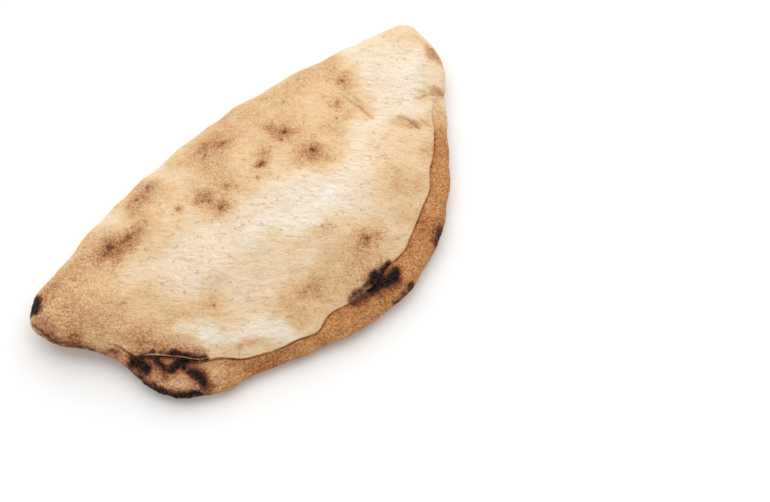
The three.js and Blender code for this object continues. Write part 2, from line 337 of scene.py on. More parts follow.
def away_from_line(points, line):
    """Distance in plan from a line of two or more corners."""
    nearest = np.full(points.shape[:-1], np.inf)
    for a, b in zip(np.array(line[:-1], float), np.array(line[1:], float)):
        share = np.clip(((points[..., :2] - a) @ (b - a)) / ((b - a) @ (b - a)), 0, 1)
        away = np.linalg.norm(points[..., :2] - a - share[..., None] * (b - a), axis=-1)
        nearest = np.minimum(nearest, away)
    return nearest


# Creases, each a line in plan with the full width and the depth of its valley.
LIP_CREASES = [
    ([(-84, -47), (-66, -52)], 7, 1.8),
    ([(-66, -52), (-46, -61)], 6, 1.4),
]
DOME_CREASES = [
    ([(-106, -8), (-86, -8)], 10, 0.8),
    ([(73, 32), (77, 13)], 12, 0.9),
    ([(82, 0), (96, -9)], 11, 1.2),
    ([(102, 4), (122, 2)], 11, 1.2),
]
# Hair-fine creases of the baked skin, each a line in plan, how wide the skin rises beside it, and
# how deep it is.
FINE_CREASES = [
    ([(72.3, 32), (72.6, 27), (73.8, 23.5), (74.6, 19.5), (74.1, 15.5), (74.6, 11)], 2.6, 1),
    ([(76.4, 28.5), (77.3, 22.5)], 2.4, 0.8),
    ([(86, 2.6), (88.8, 0.9), (90.8, -2.6), (92, -7.5)], 2.6, 1),
    ([(96.8, -7.5), (98.4, -10.6)], 2.6, 1),
    ([(105.5, 11), (107, 8.6), (110, 6.9)], 2.4, 0.9),
    ([(103, 6.8), (106, 5.1), (110.2, 4.7), (112.7, 3.4)], 2.4, 1),
    ([(116.6, 6.6), (117.8, 4.6), (118.6, 0.5)], 2.4, 1),
    ([(108.9, 3.2), (110.5, 0), (112.1, -3.2)], 2.2, 0.8),
    ([(-104, -7), (-100.5, -7), (-97.5, -8.5), (-97, -14)], 2.2, 0.6),
    ([(-81, -48), (-73, -51), (-64, -51), (-56, -55), (-51, -58)], 2.4, 0.8),
]
CREASE_RIDGE = 0.45  # how high the skin rises beside a fine crease, as a share of its depth
CREASE_WANDER = 0.5


def fine_creases(points):
    """How far the fine creases raise the skin beside them, and how deep each point lies in one."""
    wavy = points + CREASE_WANDER * noise(points, 4, 151)[..., None]
    ridge = valley = 0
    for line, width, depth in FINE_CREASES:
        away = away_from_line(wavy, line)
        ridge = ridge + CREASE_RIDGE * depth * np.exp(-((away / width) ** 2))
        valley = valley + depth * np.exp(-((away / (width / 3)) ** 2))
    return ridge, valley


def solid_relief(points, place):
    """The swells, ripples and creases that the solid has too."""
    x, y = points[..., 0], points[..., 1]
    swell = sum(h * np.exp(-((x - cx) ** 2 + (y - cy) ** 2) / r ** 2) for cx, cy, r, h in SWELLS)
    ripple = 0
    for wavelength, heading, height in RIPPLES:
        across = x * math.cos(math.radians(heading)) + y * math.sin(math.radians(heading))
        ripple = ripple + height * np.sin(2 * math.pi * across / wavelength)

    def crease(lines):
        return sum(d * np.exp(-((away_from_line(points, line) / (w / 3)) ** 2)) for line, w, d in lines)

    on_lip = smoothstep(place, *LIP_RELIEF) * (1 - smoothstep(place, *LIP_RELIEF_ENDS))
    on_dome = smoothstep(place, *DOME_RELIEF)
    on_swell = smoothstep(place, *SWELL_RELIEF)
    return on_swell * (swell + ripple) - on_dome * crease(DOME_CREASES) - on_lip * crease(LIP_CREASES)


# ---- Baking -------------------------------------------------------------------------------

# How brown the crust is runs from 0, white with flour, to 1, dark brown.
UPPER_BASE = 0.355
LIP_BASE = 0.68
UNDERSIDE_BASE = 0.62
# The pale band in the seam's groove: partly the cut edge's own paler dough, partly painted light.
CUT_EDGE_AND_GROOVE_LIGHT_BASE = 0.4
SPECK_BROWNING = 0.34
# The fine creases are browned in their valleys: painted shade.
CREASE_PAINTED_SHADE = 0.08
SCORCH_BROWNING = 0.32

# Broad areas of the upper layer: corners, softness of the edge in mm, and the change in browning.
UPPER_AREAS = [
    ([(-105, 42), (-60, 50), (-20, 44), (40, 48), (84, 44), (100, 62), (60, 78), (-60, 78), (-125, 60)],
     8, 0.06),
    ([(-24, 46), (-22, 20), (-5, 14), (15, 13), (28, -2), (42, -3), (55, 8), (74, 13), (82, 24), (85, 42),
      (94, 64), (60, 72), (0, 74), (-25, 66)], 7, 0.08),
    ([(-145, 30), (-138, 55), (-95, 64), (-88, 55), (-92, 38), (-88, 22), (-78, 8), (-72, -4), (-78, -16),
      (-82, -30), (-100, -24), (-118, 5)], 9, 0.08),
    ([(-145, 35), (-130, 52), (-117, 50), (-112, 36), (-108, 22), (-97, 8), (-90, -4), (-90, -14),
      (-82, -28), (-95, -24), (-114, 0), (-135, 20)], 8, 0.07),
    ([(-38, -38), (-10, -34), (10, -33), (32, -33), (36, -50), (20, -60), (-20, -58), (-36, -52)], 6, 0.11),
    # pale with flour
    ([(90, 68), (113, 62), (112, 48), (116, 38), (128, 31), (124, 20), (112, 8), (100, 4), (108, -3), (85, 1),
      (60, 3), (38, -6), (60, 11), (77, 12), (82, 22), (86, 36), (96, 48)], 6, -0.15),
    ([(-66, 16), (-52, 25), (-36, 16), (0, 10), (22, 6), (38, -6), (50, -8), (50, -14), (38, -22), (30, -31),
      (16, -28), (2, -17), (-16, -11), (-34, -6), (-64, -5)], 7, -0.13),
    ([(-22, -2), (8, -4), (32, -12), (38, -24), (26, -27), (10, -18), (-16, -10)], 6, -0.12),
    # palest by the seam past the lobe: partly flour, partly painted light that lightens this slope's shade
    ([(-81, -15), (-72, -17), (-66, -31), (-48, -35), (-38, -45), (-32, -56), (-46, -52), (-62, -40),
      (-77, -31)], 6, -0.26),
    ([(-58, -28), (-46, -12), (-20, -16), (2, -29), (-8, -35), (-40, -35)], 7, -0.07),
    ([(-74, 50), (-66, 48), (-62, 64), (-66, 76), (-76, 76)], 5, -0.16),
    ([(-34, 52), (-26, 50), (-20, 62), (-22, 76), (-36, 76)], 6, -0.08),
]
# Blotches: x, y, half the length, half the width, turn in degrees, change in browning.
UPPER_BLOTCHES = [
    (-113, 30, 18, 24, -20, 0.08),
    (-108, 51, 14, 7, 5, 0.07),
    (-122, 46, 10, 5, 5, 0.12),
    (-133, 30, 4, 14, -5, 0.16),
    (-126, 19, 3.5, 6, -25, 0.26),
    (-97, 54, 10, 3, 10, 0.05),
    (-103, -5, 11, 6, -45, 0.14),
    (-94, -18, 12, 4, -45, 0.16),
    (-74, 43, 18, 11, -3, 0.18),
    (-73, 43, 12, 8, 0, 0.2),
    (-82, 46, 7, 9, 0, 0.18),
    (-47, 58, 14, 12, 15, 0.1),
    (-42, 62, 6, 6, 0, 0.14),
    (-52, 58, 7, 7, 0, 0.12),
    (-1, 56, 12, 10, -30, 0.12),
    (-6, 57, 3.5, 3.5, 0, 0.16),
    (2, 52, 6, 5, 0, 0.13),
    (-11, 40, 7, 9, 10, 0.08),
    (-27, 26, 7, 12, 0, 0.23),
    (-26, 31, 4.5, 4.5, 0, 0.14),
    (-26, 18, 4, 3.5, 0, 0.15),
    (-41, 35, 4, 4, 0, 0.16),
    (-14, 26, 4, 6, 20, 0.12),
    (6.5, 23.5, 4.5, 3, 0, 0.26),
    (12, 29, 5, 4, 30, 0.14),
    (29, 37, 9, 12, 0, 0.13),
    (30, 32, 5.5, 5, 0, 0.13),
    (26, 39, 4, 5, 0, 0.12),
    (32, 10, 11, 9, 20, 0.13),
    (33, 12, 6, 5.5, 0, 0.12),
    (56, 19, 11, 6, 0, 0.07),
    (66, 30, 5, 4, 0, 0.16),
    (78, 40, 5, 5, 0, 0.14),
    (-63, -17, 11, 8, -10, 0.09),
    (-78, -8, 5, 4, 0, 0.06),
    (7, -24, 8, 4, -10, 0.13),
    (-20, -43, 15, 6, -8, 0.1),
    (-19, -44, 6, 4, -20, 0.05),
    (23, -42, 6, 5, -20, 0.18),
    (12, -49, 14, 5, 8, 0.08),
    (-60, -44, 11, 3, -33, 0.24),
    (88, -3, 8, 4, -45, 0.1),
    (91, -6, 4, 2, -45, 0.1),
    (118, 3, 4, 3, 0, 0.3),
    (131, 22, 4, 6, -20, 0.34),
    (117, 16, 12, 14, 0, -0.09),
    (133, 33, 3, 6, 0, 0.1),
    (110, -7, 5, 3, -40, 0.12),
    (62, -30, 15, 10, -35, 0.14),
    (52, -46, 9, 5, -25, 0.14),
    (88, -24, 8, 5, -40, 0.14),
]
# Small dark dots where the skin blistered and caught the heat: x, y and radius.
SPECKS = [
    (-25.4, 18.6, 1.6), (-26.5, 26.3, 1.3), (-29, 30, 0.9), (-8.8, 53.3, 1.5), (3, 52.5, 1.5),
    (-2, 62, 0.9), (6.6, 23.5, 1.9), (12.5, 28.9, 1.1), (30, 32.1, 1.6), (24.7, 28.5, 1.2),
    (33, 12.8, 1.6), (-0.4, 18.1, 0.9), (66, 31, 1.1), (79, 41, 1.2), (-41, 36, 1.1),
    (-14.5, 27, 0.9), (-70, 43, 1.8), (-80, 47, 1.3),
    (-42, 63, 1.2), (-51, 60, 1), (-119, 34, 1.1), (58, 22, 0.8), (-62, -18, 0.9), (23, -42, 1.6),
    (8, -24, 0.8), (-95, 15, 0.9), (45, 52, 0.9),
]
LIP_BLOTCHES = [
    (8, -67, 18, 6, 0, 0.04),
    (-64, -55, 20, 3, -15, 0.1),
    (60, -60, 14, 7, -35, 0.07),
    (-80, -47, 12, 6, -30, -0.12),
    (-103, -36, 6, 8, 25, -0.1),
]
# Burnt strokes: the corners of a line in plan, half its width in mm, and how burnt, up to 1.
UPPER_CHAR = [
    ([(-130.5, 46.5), (-128.5, 49)], 3.2, 1),
    ([(-112, -4.5), (-108.5, -9.5), (-102, -16)], 1.2, 1),
    ([(-102.6, -16.6), (-98, -19.2), (-92, -23.2)], 1.3, 1),
    ([(-92, -23.2), (-87, -28.2), (-83, -33.6)], 1.3, 1),
    ([(-2, -60), (5, -59.4), (12, -58.6)], 2.7, 0.42),
    ([(12, -59), (18, -58.6), (23, -57.8)], 2.3, 0.95),
    ([(66, -51), (78, -43)], 1.6, 0.7),
]
LIP_CHAR = [
    ([(-110.5, -9), (-108.5, -12.5), (-108, -17.5)], 2.2, 1),
    ([(-101.5, -17), (-101.3, -22), (-99.6, -25.5)], 1.1, 1),
    ([(-99.6, -26), (-95.9, -26.8), (-92.9, -27.5)], 1.9, 1),
    ([(-92.9, -27.5), (-88.5, -28.5)], 1.6, 1),
    ([(-92.9, -27.5), (-91, -34)], 0.9, 1),
    ([(-90, -35.5), (-89.2, -39.5), (-90, -44)], 2, 1),
    ([(-4, -62), (3, -62.5), (11, -62)], 1.6, 0.42),
    ([(10, -62), (16, -62.8), (24, -63)], 2.3, 1),
    ([(16, -65), (22, -66.5)], 1.6, 1),
    ([(55, -63), (62, -59)], 1.4, 0.7),
]
EDGE_CHAR = [
    ([(-113.2, -15), (-112.6, -21), (-110.2, -28), (-106.8, -34.5)], 0.9, 1),
    ([(-107.5, -33), (-102, -40.5), (-95, -45.5)], 1.0, 1),
    ([(-137, 40), (-136, 34), (-133, 26), (-127, 16), (-120, 8), (-114, 0)], 0.2, 0.65),
    ([(14, -75), (28, -74)], 1.2, 0.6),
]

# How far the outlines of areas, blotches, specks and char wander: amount and size in mm, and seed,
# of each layer of noise.
AREA_WANDER = [(5, 17, 11), (3, 7, 13), (1.4, 3, 15)]
BLOTCH_WANDER = [(1.8, 8, 21), (1.4, 4, 23), (0.7, 1.8, 25)]
SPECK_WANDER = [(0.6, 2.5, 27)]
CHAR_WANDER = [(1.6, 7, 31), (1, 2.6, 33), (0.5, 1.2, 35)]

# How much wider than its strokes a scorch or a char reaches, and how soft its edge is.
UPPER_SCORCH = (1.4, 2.6)
LIP_SCORCH = (2, 3.2)
EDGE_SCORCH = (0.8, 1.8)
CHAR = (0.3, 1.7)
EDGE_CHARRING = (0.2, 1.2)
# Only the top of the upper layer burnt: its char thins out down the sides between these heights,
# which wander by some mm.
CHAR_HEIGHTS = (6, 14)
CHAR_HEIGHTS_WANDER = 2.5
SCORCH_DOWN_THE_SIDES = 0.4

# Unevenness of the browning: strength, size in mm and seed.
UPPER_UNEVEN = [(0.05, 14, 51), (0.04, 5, 55)]
LIP_UNEVEN = [(0.06, 9, 61)]
BLOTCHES_UNEVEN = [(0.35, 4.5, 41)]

# Where the seam's colours begin, by how far it is open, at the neck and at the blunt end.
OPEN_AT_NECK = (0.02, 0.3)
OPEN_AT_BLUNT_END = (0.25, 0.8)
GOLDEN_FROM = (-92, -55)  # x, past the lobe
SANDY = (0.36, 0.62)  # browning

# The upper layer's cut edge shows pale between these x, in a band this wide on the section, in the seam's
# groove under the overhang: partly the edge's own paler dough, partly painted light that lightens the
# groove's shade.
CUT_EDGE_AND_GROOVE_LIGHT_FROM = (-108, -99)
CUT_EDGE_AND_GROOVE_LIGHT_TO = (-76, -40)
CUT_EDGE_AND_GROOVE_LIGHT_WIDTH = 0.18
CUT_EDGE_AND_GROOVE_LIGHT_STRENGTH = 1.1
CUT_EDGE_AND_GROOVE_LIGHT_GAPS = 0.3
CUT_EDGE_AND_GROOVE_LIGHT_OVER_BROWN = 0.8
CUT_EDGE_AND_GROOVE_LIGHT_OVER_CHAR = 0.9


def patch(points, x, y, half_length, half_width, turn):
    """1 in the middle of an oval patch, falling softly to 0 past its edge, in plan."""
    c, s = math.cos(math.radians(turn)), math.sin(math.radians(turn))
    dx, dy = points[..., 0] - x, points[..., 1] - y
    away_squared = ((c * dx + s * dy) / half_length) ** 2 + ((c * dy - s * dx) / half_width) ** 2
    fall, flatness = 0.9, 1.3
    return np.exp(-fall * away_squared ** flatness)


def blotches(points, ovals):
    """How much oval blotches change the browning."""
    return sum(change * patch(points, *oval) for *oval, change in ovals)


def area(points, corners, soft):
    """1 inside an outline and 0 outside it, in plan, with an edge 2 * soft mm wide."""
    x, y = points[..., 0], points[..., 1]
    inside = np.zeros(x.shape, bool)
    for (x1, y1), (x2, y2) in zip(corners, corners[1:] + corners[:1]):
        crossed = (y1 > y) != (y2 > y)
        rise = y2 - y1 or 1  # a level side is never crossed
        inside ^= crossed & (x < x1 + (x2 - x1) * (y - y1) / rise)
    away = away_from_line(points, corners + corners[:1])
    return smoothstep(np.where(inside, away, -away), -soft, soft)


def strokes(points, lines, wider, soft):
    """How far each point lies in the strokes, made wider by some mm, with an edge 2 * soft mm wide."""
    found = np.zeros(points.shape[:-1])
    for line, width, strength in lines:
        away = away_from_line(points, line) - width - wider
        found = np.maximum(found, strength * (1 - smoothstep(away, -soft, soft)))
    return found


def wandering(points, layers):
    """Points moved about in plan by layers of noise."""
    moved = points[..., :2].copy()
    for amount, size, seed in layers:
        moved[..., 0] += amount * noise(points, size, seed)
        moved[..., 1] += amount * noise(points, size, seed + 1)
    return moved


def upper_browning(points, near, valley):
    """Browning of the upper layer. near is the points as blotches wander, valley the fine creases."""
    plan = wandering(points, AREA_WANDER)
    dots = wandering(points, SPECK_WANDER)
    brown = UPPER_BASE + sum(change * area(plan, corners, soft) for corners, soft, change in UPPER_AREAS)
    brown = brown + (1 + unevenness(points, BLOTCHES_UNEVEN)) * blotches(near, UPPER_BLOTCHES)
    for x, y, radius in SPECKS:
        away = np.hypot(dots[..., 0] - x, dots[..., 1] - y)
        brown = brown + SPECK_BROWNING * np.exp(-((away / radius) ** 2))
    # The fine creases' valleys are darkened: painted shade.
    return brown + CREASE_PAINTED_SHADE * valley + unevenness(points, UPPER_UNEVEN)


def lip_browning(points, near):
    """Browning of the lip. near is the points as blotches wander."""
    return LIP_BASE + blotches(near, LIP_BLOTCHES) + unevenness(points, LIP_UNEVEN)


def pale_cut_edge_and_groove_light(points, place):
    """The cut edge of the upper layer, paler than the dough round it where it lies in the seam's groove:
    partly its own paler dough, partly painted light that lightens the groove's shade.
    """
    x = points[..., 0]
    shows = smoothstep(x, *CUT_EDGE_AND_GROOVE_LIGHT_FROM) * (1 - smoothstep(x, *CUT_EDGE_AND_GROOVE_LIGHT_TO))
    strength = CUT_EDGE_AND_GROOVE_LIGHT_STRENGTH + CUT_EDGE_AND_GROOVE_LIGHT_GAPS * noise(points, 13, 91)
    shows = np.clip(shows * strength, 0, 1)
    return shows * np.exp(-(((place - CUT_EDGE) / CUT_EDGE_AND_GROOVE_LIGHT_WIDTH) ** 2))


def burns(points, near, upper, lip):
    """How scorched and how charred each point is. Scorch reaches further out than char."""
    raised = smoothstep(points[..., 2] + CHAR_HEIGHTS_WANDER * noise(points, 4, 37), *CHAR_HEIGHTS)
    ragged = wandering(points, CHAR_WANDER)
    scorched = upper * mix(SCORCH_DOWN_THE_SIDES, 1, raised) * strokes(near, UPPER_CHAR, *UPPER_SCORCH)
    scorched = scorched + lip * strokes(near, LIP_CHAR, *LIP_SCORCH)
    scorched = np.maximum(scorched, strokes(near, EDGE_CHAR, *EDGE_SCORCH))
    charred = upper * raised * strokes(ragged, UPPER_CHAR, *CHAR) + lip * strokes(ragged, LIP_CHAR, *CHAR)
    charred = np.maximum(charred, strokes(ragged, EDGE_CHAR, *EDGE_CHARRING))
    return scorched, charred


def baking(points, place, is_open, valley):
    """How each point is browned, burnt, sandy and golden, and whether it lay on the stone, 0 to 1."""
    x = points[..., 0]
    near = wandering(points, BLOTCH_WANDER)
    seam_side = np.where(x < 0, smoothstep(is_open, *OPEN_AT_NECK), smoothstep(is_open, *OPEN_AT_BLUNT_END))
    under = 1 - smoothstep(place, *OFF_THE_STONE)
    lip = seam_side * (1 - smoothstep(place, *SEAM)) * (1 - under)
    upper = (1 - lip) * (1 - under)
    # A pale band in the seam's groove: partly the cut edge's paler dough, partly painted light against the
    # groove's shade.
    cut_edge_and_groove_light = seam_side * pale_cut_edge_and_groove_light(points, place)
    scorched, charred = burns(points, near, upper, lip)

    brown = upper * upper_browning(points, near, valley) + lip * lip_browning(points, near)
    brown = mix(brown + under * UNDERSIDE_BASE, CUT_EDGE_AND_GROOVE_LIGHT_BASE, CUT_EDGE_AND_GROOVE_LIGHT_OVER_BROWN * cut_edge_and_groove_light)
    brown = brown + SCORCH_BROWNING * scorched * (1 - CUT_EDGE_AND_GROOVE_LIGHT_OVER_BROWN * cut_edge_and_groove_light)
    return {
        "browning": np.clip(brown, 0, 1),
        "burnt": np.clip(charred * (1 - CUT_EDGE_AND_GROOVE_LIGHT_OVER_CHAR * cut_edge_and_groove_light), 0, 1),
        "sandy": smoothstep(brown, *SANDY),
        "golden": lip * smoothstep(x, *GOLDEN_FROM),
        "underside": under,
    }


# ---- Skin ---------------------------------------------------------------------------------

# Wrinkles of the skin run one way in plan, in loose groups. Each set has its size along, across
# and up, seed and narrowness, its groups' size, seed and beginning, and its strength.
WRINKLE_TURN = -40  # degrees
WRINKLES = [
    ((11, 2.6, 5), 101, 0.22, 15, 103, -0.2, 1),
    ((5.5, 1.9, 4), 105, 0.2, 11, 107, 0, 0.7),
]
WRINKLE_DEPTH = 0.3
BROWN_WRINKLES = 0.25  # how deep wrinkles are on brown crust, next to 1 more on pale
PALE = (0.3, 0.5)  # browning
BUMPS = [(0.45, 9, 111), (0.2, 3.4, 121, 2)]  # height, size, seed and layers
SAND_HEIGHT = 0.12
CRACKLE_HEIGHT = 0.7
BLISTER_PLACE = (121, 35)
BLISTER_EDGE = (2.5, 5.5)
BLISTER_HEIGHT = 0.8


def wrinkles(points):
    """How deep each point lies in a wrinkle, from 0 up."""
    c, s = math.cos(math.radians(WRINKLE_TURN)), math.sin(math.radians(WRINKLE_TURN))
    turned = points @ np.array([(c, -s, 0), (s, c, 0), (0, 0, 1)])
    found = 0
    for size, seed, narrow, group_size, group_seed, beginning, strength in WRINKLES:
        valleys = np.exp(-((noise(turned, size, seed) / narrow) ** 2))
        grouped = smoothstep(noise(points, group_size, group_seed), beginning, 0.5)
        found = found + strength * grouped * valleys
    return found


def fine_relief(points, place, marks, creases):
    """How far the baked skin stands proud of the plain form."""
    pale = 1 - smoothstep(marks["browning"], *PALE)
    on_top = smoothstep(place, *WRINKLES_FROM)
    sand = SAND_HEIGHT * noise(points, 1.5, 131) * marks["sandy"]
    crackle = CRACKLE_HEIGHT * np.abs(noise(points, 2.6, 141)) * marks["burnt"]
    creases = creases * smoothstep(place, *FINE_CREASES_FROM)
    blister_away = np.hypot(points[..., 0] - BLISTER_PLACE[0], points[..., 1] - BLISTER_PLACE[1])
    blister = BLISTER_HEIGHT * (1 - smoothstep(blister_away, *BLISTER_EDGE)) * on_top
    wrinkled = WRINKLE_DEPTH * wrinkles(points) * (BROWN_WRINKLES + pale)
    above_base = unevenness(points, BUMPS) + sand + crackle + creases
    return smoothstep(place, *FINE_RELIEF) * above_base + on_top * (blister - wrinkled)


def skin_faces(row_count):
    """Quads between the rows. The first and the last row are welded to their mirror points."""
    ray = np.arange(RAYS)
    index = np.arange(row_count * RAYS).reshape(row_count, RAYS)
    index[[0, -1]] = index[[0, -1]][:, np.minimum(ray, (RAYS - ray) % RAYS)]
    nearer, further = index[:-1], index[1:]
    quads = np.stack([nearer, np.roll(nearer, -1, 1), np.roll(further, -1, 1), further], -1)
    return quads.reshape(-1, 4)


def make_mesh(name, points, faces):
    """A mesh of the points that its faces use, and which points those are."""
    used, faces = np.unique(faces, return_inverse=True)
    mesh = bpy.data.meshes.new(name)
    mesh.from_pydata((points.reshape(-1, 3)[used] * MM).tolist(), [], faces.reshape(-1, 4).tolist())
    return mesh, used


def calzone_skin():
    """The skin of dough, with how it baked in attributes of its points."""
    points, place, is_open = bare_skin()
    points[..., 2] = np.maximum(0, points[..., 2] + solid_relief(points, place))
    ridge, valley = fine_creases(points)
    marks = baking(points, place, is_open, valley)

    mesh, used = make_mesh("dough_skin", points, skin_faces(len(points)))
    found = np.zeros(len(used) * 3, np.float32)
    mesh.vertices.foreach_get("normal", found)
    normals = np.zeros((points.size // 3, 3))
    normals[used] = found.reshape(-1, 3)
    relief = fine_relief(points, place, marks, ridge - valley)
    points = points + normals.reshape(points.shape) * relief[..., None]
    points[..., 2] = np.maximum(0, points[..., 2])
    mesh.vertices.foreach_set("co", (points.reshape(-1, 3)[used] * MM).astype(np.float32).ravel())

    for name, values in marks.items():
        attribute = mesh.attributes.new(name, "FLOAT", "POINT")
        attribute.data.foreach_set("value", values.reshape(-1)[used].astype(np.float32))
    mesh.shade_smooth()
    mesh.update()
    skin = bpy.data.objects.new("dough_skin", mesh)
    bpy.context.scene.collection.objects.link(skin)
    return skin


# ---- Materials ----------------------------------------------------------------------------

def linear(code):
    """An sRGB hex colour as linear RGBA."""
    values = [int(code[i : i + 2], 16) / 255 for i in (1, 3, 5)]
    return [v / 12.92 if v <= 0.04045 else ((v + 0.055) / 1.055) ** 2.4 for v in values] + [1]


def add(tree, kind, inputs, output=0, **settings):
    """Adds one node with its settings and inputs, by name or in their order, and gives an output.

    Each input is a value, or an output of another node to link.
    """
    made = tree.nodes.new("ShaderNode" + kind)
    for name, value in settings.items():
        setattr(made, name, value)
    named = inputs.items() if isinstance(inputs, dict) else enumerate(inputs)
    for name, value in named:
        if isinstance(value, bpy.types.NodeSocket):
            tree.links.new(value, made.inputs[name])
        else:
            made.inputs[name].default_value = value
    return made.outputs[output]


# Patterns in the crust: texture, size in mm, detail, a shift in metres that keeps it unlike the
# others, and for the skin's cracks and wrinkles their turn in degrees and how far they stretch.
DOUGH_PATTERNS = {
    "grains": ("TexVoronoi", 0.95, 0, 0.1, 0, 1),  # semolina of half a mm, drawn coarser to show
    "dust": ("TexNoise", 0.7, 3, 0.2, 0, 1),  # flour, drawn far coarser than it is, to show
    "mottle": ("TexNoise", 4.5, 2, 0.3, 0, 1),
    "fray": ("TexNoise", 2.4, 3, 0.4, 0, 1),
    "ash": ("TexNoise", 1.0, 3, 0.5, 0, 1),
    "crack_lines": ("TexNoise", 2.2, 3, 0.6, WRINKLE_TURN, 2.6),
    "crack_groups": ("TexNoise", 3.5, 2, 0.7, 0, 1),
    "wrinkles": ("TexNoise", 2.6, 4, 0.8, WRINKLE_TURN, 2.0),
    "crackle": ("TexNoise", 1.6, 4, 0.9, 0, 1),
    "stone_mottle": ("TexNoise", 22, 4, 1.1, 0, 1),
    "stone_spots": ("TexNoise", 13, 3, 1.2, 0, 1),
    "yellower": ("TexNoise", 19, 3, 1.3, 0, 1),
}
BROWNING_COLOURS = [  # browning, and the colour of the crust there
    (0.0, "#f8f1e6"),
    (0.12, "#f2e5d3"),
    (0.3, "#ead1b1"),
    (0.45, "#e1bd90"),
    (0.6, "#d1a074"),
    (0.75, "#ba8256"),
    (0.88, "#99603b"),
    (1.0, "#683c25"),
]
YELLOWER_TINT = "#fffae4"
GOLDEN_TINT = "#fff0d2"
SCORCH_COLOUR = "#62341f"
CHAR_COLOUR = "#140c09"
ASH_COLOUR = "#5e4434"

# Ranges on a pattern or a mark, from and to, with what they come to at its two ends if not 0 to 1.
STONE_SPOTS = (0.64, 0.72, 0, 0.75)
CRACK_LINES = (0.03, 0)
CRACK_GROUPS = (0.57, 0.66)
YELLOWER = (0.36, 0.64, 0, 0.28)
SCORCHED = (0.03, 0.42, 0, 0.92)
BLACK = (0.46, 0.82)
ASHEN = (0.5, 0.78)
GRAIN_TOPS = (0.7, 0.1)
CRACKLE = (0.3, 0.7)

# How much the patterns change the browning. A pair is how much more where it is all sandy, and how
# much everywhere.
STONE_MOTTLE_CONTRAST = 0.8
MOTTLE_CONTRAST = 0.14
GRAIN_CONTRAST = (0.2, 0.05)
DUST_CONTRAST = (0.24, 0.16)
# The cracks are darkened: painted shade in them.
CRACK_PAINTED_SHADE = 0.07
GOLDEN_SHARE = 0.9
FRAY_CONTRAST = 1.1
SCORCH_FRAY = 0.4

# Heights of the finest relief, in mm, in the same pairs.
DUST_RELIEF = 0.35
GRAIN_RELIEF = (0.5, 0.15)
WRINKLE_RELIEF = (-1.2, 1.8)
CRACK_RELIEF = -0.5
CRACKLE_RELIEF = 0.9
BUMP_STRENGTH = 0.9

DOUGH_ROUGHNESS = 0.85
CHAR_ROUGHNESS = 0.65
DOUGH_SPECULAR = 0.5
CHAR_SPECULAR = 0.16
DOUGH_IOR = 1.45


def dough_patterns(tree):
    """The patterns, each over the dough's own place: from 0 to 1, or away from a grain's middle."""
    place = add(tree, "TexCoord", {}, output="Object")
    found = {}
    for name, (kind, size, detail, shift, turn, stretch) in DOUGH_PATTERNS.items():
        moved = add(tree, "Mapping", {
            "Vector": place,
            "Location": (shift, 2 * shift, 3 * shift),
            "Rotation": (0, 0, math.radians(turn)),
            "Scale": (stretch, 1, 1),
        }, vector_type="TEXTURE")
        found[name] = add(tree, kind, {"Vector": moved, "Scale": 1 / (size * MM), "Detail": detail})
    return found


def skin_cracks(tree, patterns):
    """Short fine cracks of the dried skin: the middle lines of a noise, in loose groups."""
    away = add(tree, "Math", (patterns["crack_lines"], 0.5), operation="SUBTRACT")
    away = add(tree, "Math", (away,), operation="ABSOLUTE")
    lines = add(tree, "MapRange", (away, *CRACK_LINES))
    groups = add(tree, "MapRange", (patterns["crack_groups"], *CRACK_GROUPS))
    return add(tree, "Math", (lines, groups), operation="MULTIPLY")


def baked_on_stone(tree, marks, patterns):
    """Adds what the stone did to the underside to the browning and the char: mottle and spots."""
    mottle = add(tree, "Math", (patterns["stone_mottle"], 0.5), operation="SUBTRACT")
    mottle = add(tree, "Math", (mottle, STONE_MOTTLE_CONTRAST), operation="MULTIPLY")
    spots = add(tree, "MapRange", (patterns["stone_spots"], *STONE_SPOTS))
    for name, pattern in [("browning", mottle), ("burnt", spots)]:
        inputs = (pattern, marks["underside"], marks[name])
        marks[name] = add(tree, "Math", inputs, operation="MULTIPLY_ADD")


def crust_colour(tree, marks, patterns, cracks):
    """Cream to brown, made uneven by the grains and the dust, and darker in the cracks as painted shade."""
    grain_tone = add(tree, "SeparateColor", (patterns["grains"].node.outputs["Color"],))
    grain_contrast, dust_contrast = (
        add(tree, "Math", (marks["sandy"], *contrast), operation="MULTIPLY_ADD")
        for contrast in (GRAIN_CONTRAST, DUST_CONTRAST)
    )
    # The cracks darken the crust: painted shade.
    uneven = add(tree, "Math", (cracks, CRACK_PAINTED_SHADE), operation="MULTIPLY")
    for pattern, contrast in [
        (grain_tone, grain_contrast),
        (patterns["dust"], dust_contrast),
        (patterns["mottle"], MOTTLE_CONTRAST),
    ]:
        centred = add(tree, "Math", (pattern, 0.5), operation="SUBTRACT")
        uneven = add(tree, "Math", (centred, contrast, uneven), operation="MULTIPLY_ADD")
    browned = add(tree, "Math", (marks["browning"], uneven), operation="ADD", use_clamp=True)
    colour = add(tree, "ValToRGB", (browned,))
    steps = colour.node.color_ramp.elements
    for i, (position, code) in enumerate(BROWNING_COLOURS):
        step = steps[i] if i < 2 else steps.new(position)
        step.position = position
        step.color = linear(code)

    # It wanders from a pinker to a yellower cream, and the lip past the lobe is tinted golden.
    yellower = add(tree, "MapRange", (patterns["yellower"], *YELLOWER))
    golden = add(tree, "Math", (marks["golden"], GOLDEN_SHARE), operation="MULTIPLY")
    for share, tint in [(yellower, YELLOWER_TINT), (golden, GOLDEN_TINT)]:
        inputs = {0: share, 6: colour, 7: linear(tint)}
        colour = add(tree, "Mix", inputs, output=2, data_type="RGBA", blend_type="MULTIPLY")
    return colour


